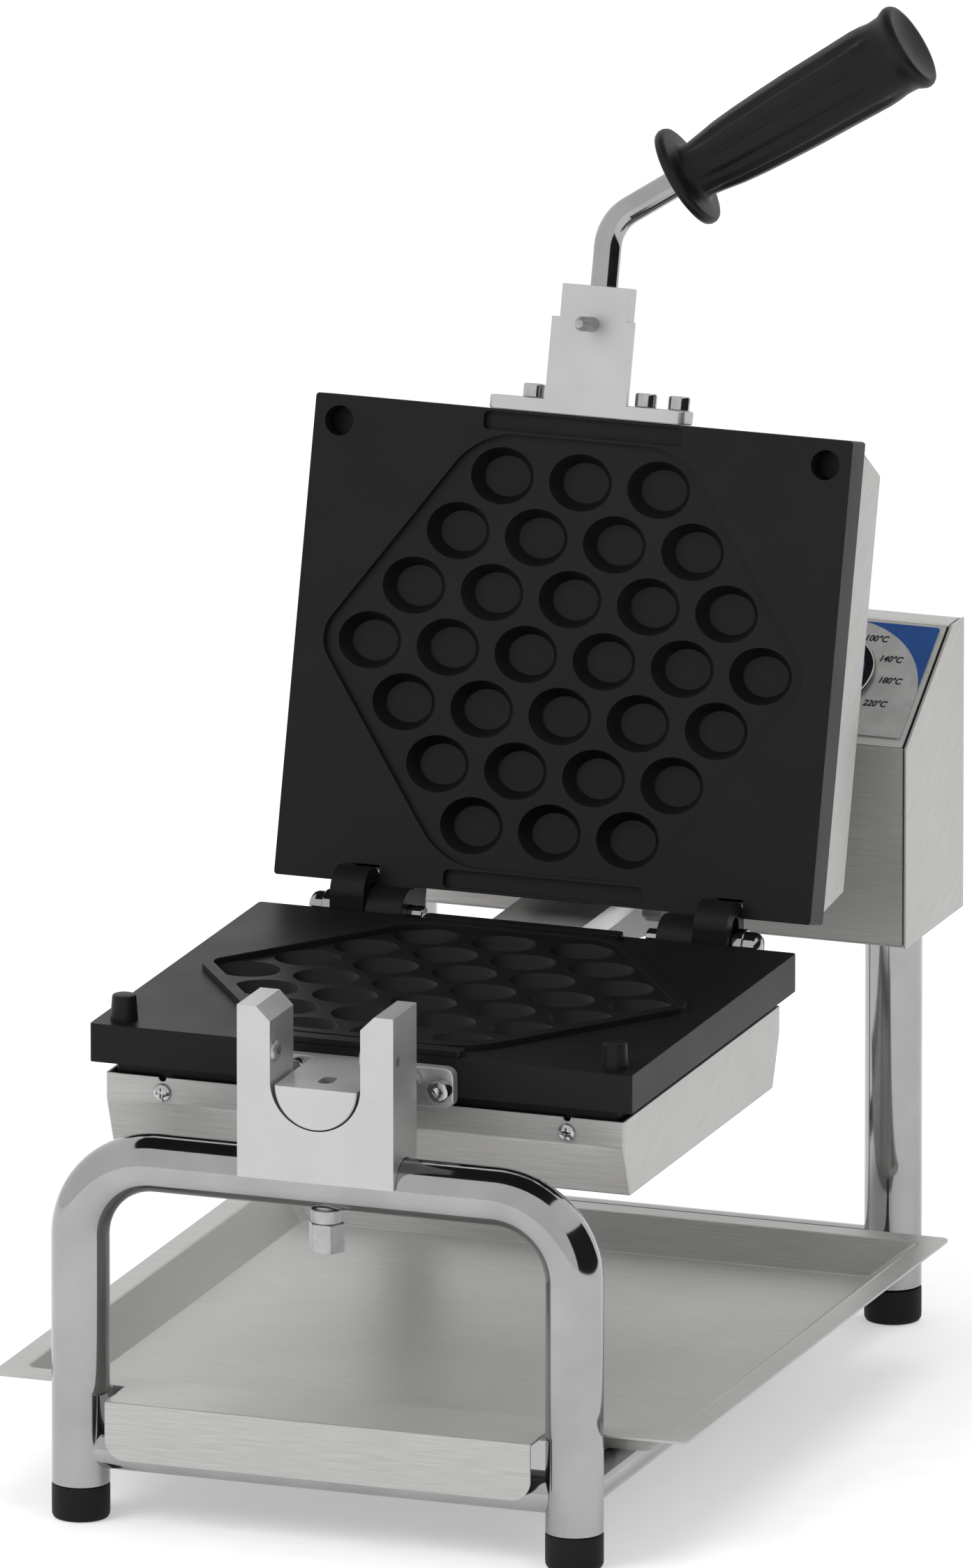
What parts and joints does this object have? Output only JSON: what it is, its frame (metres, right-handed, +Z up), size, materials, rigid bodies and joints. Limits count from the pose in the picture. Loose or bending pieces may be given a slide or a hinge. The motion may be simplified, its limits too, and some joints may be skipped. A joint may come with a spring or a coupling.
{
  "type": "bubble waffle maker",
  "caption": "Electric bubble waffle iron on a bent tube stand: two pocketed plates hinged together turn over in a front cradle, with a bent handle, control box and drip tray.",
  "frame": {"origin": "on the floor under the middle of the machine's overall box", "axes": "+Z up, -Y towards the front cradle and the user, +Y towards the control box, +X to the user's right"},
  "size_m": [0.3148, 0.4736, 0.5939],
  "materials": {
    "chromed_tube": "polished",
    "stainless": "brushed",
    "aluminium": "blasted",
    "coated_cast": "cast, black non-stick coating",
    "zinc_plated": "zinc plated",
    "rubber": "matte",
    "black_plastic": "matte",
    "grey_plastic": "matte",
    "label_film": "printed film",
    "red_lens": "clear red",
    "element_steel": "heat darkened"
  },
  "bodies": {
    "frame": {"front_frame": "chromed_tube", "rear_leg_left": "chromed_tube", "rear_leg_right": "chromed_tube", "front_rail": "chromed_tube", "rear_rail": "chromed_tube", "side_rail_left": "chromed_tube", "side_rail_right": "chromed_tube", "foot_front_left": "rubber", "foot_front_right": "rubber", "foot_rear_left": "rubber", "foot_rear_right": "rubber", "cradle_block": "aluminium", "cradle_bolt": "zinc_plated", "ear_screw_left": "zinc_plated", "ear_screw_right": "zinc_plated", "box_body": "stainless", "back_cover": "stainless", "cable_inlet": "black_plastic", "rear_bearing": "aluminium", "slope_panel": "stainless", "dial_label": "label_film", "thermostat": "grey_plastic", "rocker_housing": "black_plastic", "indicator_lamp": "red_lens"},
    "tray": {"drip_tray": "stainless"},
    "mould": {"lower_plate": "coated_cast", "lower_casing": "stainless", "lower_heater": "element_steel", "lower_bracket": "aluminium", "lower_bracket_screw_left": "zinc_plated", "lower_bracket_screw_right": "zinc_plated", "lower_bracket_screw_outer": "zinc_plated", "lower_casing_screw_left": "zinc_plated", "lower_casing_screw_right": "zinc_plated", "rear_shaft": "aluminium"},
    "lid": {"upper_plate": "coated_cast", "upper_casing": "stainless", "upper_heater": "element_steel", "upper_bracket": "aluminium", "locating_pin": "zinc_plated", "lid_cable_gland": "grey_plastic", "upper_bracket_screw_left": "zinc_plated", "upper_bracket_screw_right": "zinc_plated", "upper_bracket_screw_outer": "zinc_plated", "upper_casing_screw_left": "zinc_plated", "upper_casing_screw_right": "zinc_plated", "handle_rod": "chromed_tube", "handle_grip": "black_plastic", "hinge_pin_left": "chromed_tube", "hinge_pin_right": "chromed_tube"},
    "knob": {"knob": "black_plastic"},
    "rocker": {"rocker_button": "black_plastic"}
  },
  "joints": [
    {"name": "mould_flip", "type": "hinge", "parent": "frame", "child": "mould", "pos_m": [0, 0, 0.2048], "axis": [0, 1, 0], "range_deg": [-90, 90]},
    {"name": "lid_swing", "type": "hinge", "parent": "mould", "child": "lid", "pos_m": [0, 0.03825, 0.2035], "axis": [1, 0, 0], "range_deg": [0, 105]},
    {"name": "tray_lift", "type": "slide", "parent": "frame", "child": "tray", "axis": [0, 0, 1], "range_m": [0, 0.011]},
    {"name": "knob_turn", "type": "hinge", "parent": "frame", "child": "knob", "pos_m": [0.0827, 0.17658, 0.28776], "axis": [0, -0.5611, 0.8277], "range_deg": [-165, 0]},
    {"name": "rocker_tip", "type": "hinge", "parent": "frame", "child": "rocker", "pos_m": [-0.084, 0.1771, 0.28521], "axis": [1, 0, 0], "range_deg": [-19.5, 0]}
  ]
}
